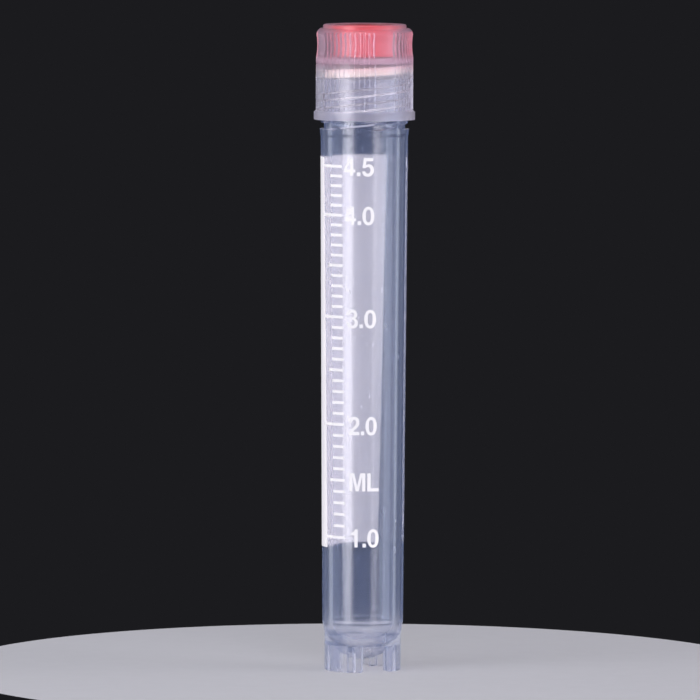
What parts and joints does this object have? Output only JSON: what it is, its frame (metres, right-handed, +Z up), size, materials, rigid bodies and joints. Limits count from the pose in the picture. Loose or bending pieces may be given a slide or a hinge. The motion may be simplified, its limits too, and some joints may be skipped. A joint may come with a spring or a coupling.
{
  "type": "cryogenic vial",
  "caption": "Tall self-standing cryogenic sample tube with a star foot, an outside-thread screw cap, a silicone washer, a coloured cap insert, a white writing patch and a volume scale.",
  "frame": {"origin": "centre of the ring that the foot stands on", "axes": "+Z up along the tube's axis; the scale and the front notch face -Y"},
  "size_m": [0.0144, 0.0144, 0.0926],
  "materials": {
    "clear_plastic": "natural translucent polypropylene, moulded gloss",
    "cap_plastic": "natural translucent polypropylene, slightly hazier",
    "silicone": "cream-white silicone, satin",
    "insert_plastic": "coral red, satin",
    "white_ink": "screen-printed white ink, matt"
  },
  "bodies": {
    "tube": {"tube": "clear_plastic", "writing_patch": "white_ink", "scale_marks": "white_ink"},
    "seal": {"washer": "silicone"},
    "cap": {"cap": "cap_plastic", "cap_insert": "insert_plastic"}
  },
  "joints": [
    {"name": "cap_lift", "type": "slide", "parent": "tube", "child": "seal", "axis": [0, 0, 1], "range_m": [0, 0.01218]},
    {"name": "cap_turn", "type": "hinge", "parent": "seal", "child": "cap", "pos_m": [0, 0, 0.0859], "axis": [0, 0, 1], "range_deg": [0, 1080]}
  ],
  "couplings": [
    {"joint": "cap_turn", "follows": "cap_lift", "rad_per_m": 1547.6}
  ]
}
